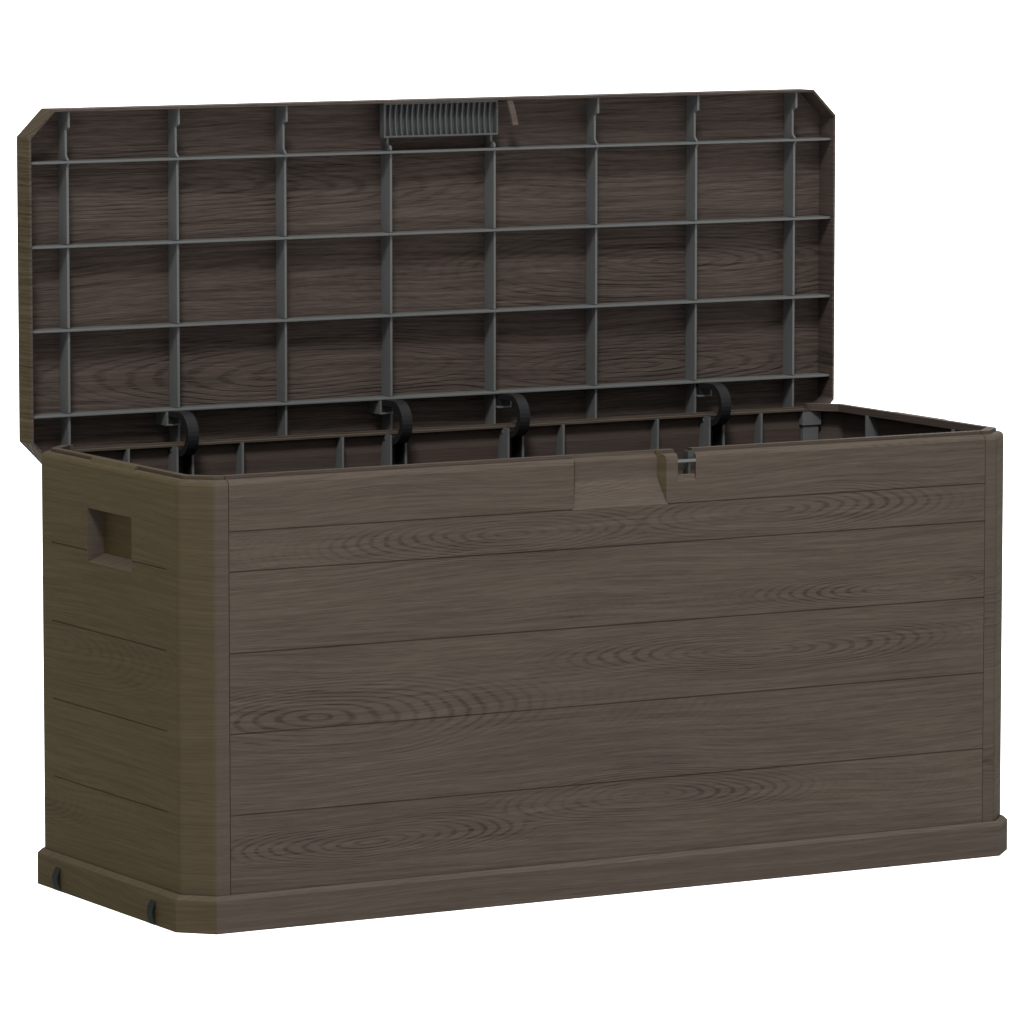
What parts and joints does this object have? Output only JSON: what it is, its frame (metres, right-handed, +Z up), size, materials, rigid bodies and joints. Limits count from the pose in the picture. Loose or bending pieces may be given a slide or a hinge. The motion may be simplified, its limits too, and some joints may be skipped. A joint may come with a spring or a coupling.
{
  "type": "deck storage box",
  "caption": "Rectangular resin deck storage box with wood-grain wall panels, recessed hand holds, a padlock opening and a rear-hinged, ribbed lid shown open.",
  "frame": {"origin": "centre of the underside of the base tray, on the floor plane", "axes": "+X to the right along the width seen from the front, +Y to the rear where the hinges are, +Z up"},
  "size_m": [1.181, 0.4739, 0.9431],
  "materials": {
    "base_resin": "fine wood grain, matte",
    "wall_resin": "embossed wood grain, matte",
    "lid_resin": "embossed wood grain, matte",
    "grey_resin": "smooth satin",
    "clip_resin": "smooth satin",
    "black_resin": "smooth satin",
    "pin_steel": "plain drawn steel"
  },
  "bodies": {
    "box": {"base_clip_front_left": "clip_resin", "base_clip_front_right": "clip_resin", "base_clip_rear_left": "clip_resin", "base_clip_rear_right": "clip_resin", "base_tray": "base_resin", "corner_post_front_left": "grey_resin", "corner_post_front_right": "grey_resin", "corner_post_rear_left": "grey_resin", "corner_post_rear_right": "grey_resin", "front_panel": "wall_resin", "hinge_bracket_1": "black_resin", "hinge_bracket_2": "black_resin", "hinge_bracket_3": "black_resin", "hinge_bracket_4": "black_resin", "hinge_pin_1": "pin_steel", "hinge_pin_2": "pin_steel", "hinge_pin_3": "pin_steel", "hinge_pin_4": "pin_steel", "padlock_staple": "grey_resin", "rear_panel": "wall_resin", "side_panel_left": "wall_resin", "side_panel_right": "wall_resin"},
    "lid": {"lid_panel": "lid_resin", "lid_long_rib_1": "grey_resin", "lid_long_rib_2": "grey_resin", "lid_long_rib_3": "grey_resin", "lid_long_rib_4": "grey_resin", "lid_cross_rib_1": "grey_resin", "lid_cross_rib_2": "grey_resin", "lid_cross_rib_3": "grey_resin", "lid_cross_rib_4": "grey_resin", "lid_cross_rib_5": "grey_resin", "lid_cross_rib_6": "grey_resin", "lid_cross_rib_7": "grey_resin", "lid_cross_rib_8": "grey_resin", "lid_grip_comb": "grey_resin", "lid_lock_tongue": "lid_resin", "hinge_arm_1": "black_resin", "hinge_arm_2": "black_resin", "hinge_arm_3": "black_resin", "hinge_arm_4": "black_resin"}
  },
  "joints": [
    {"name": "lid_hinge", "type": "hinge", "parent": "box", "child": "lid", "pos_m": [0, 0.2005, 0.5211], "axis": [1, 0, 0], "range_deg": [0, 90]}
  ]
}
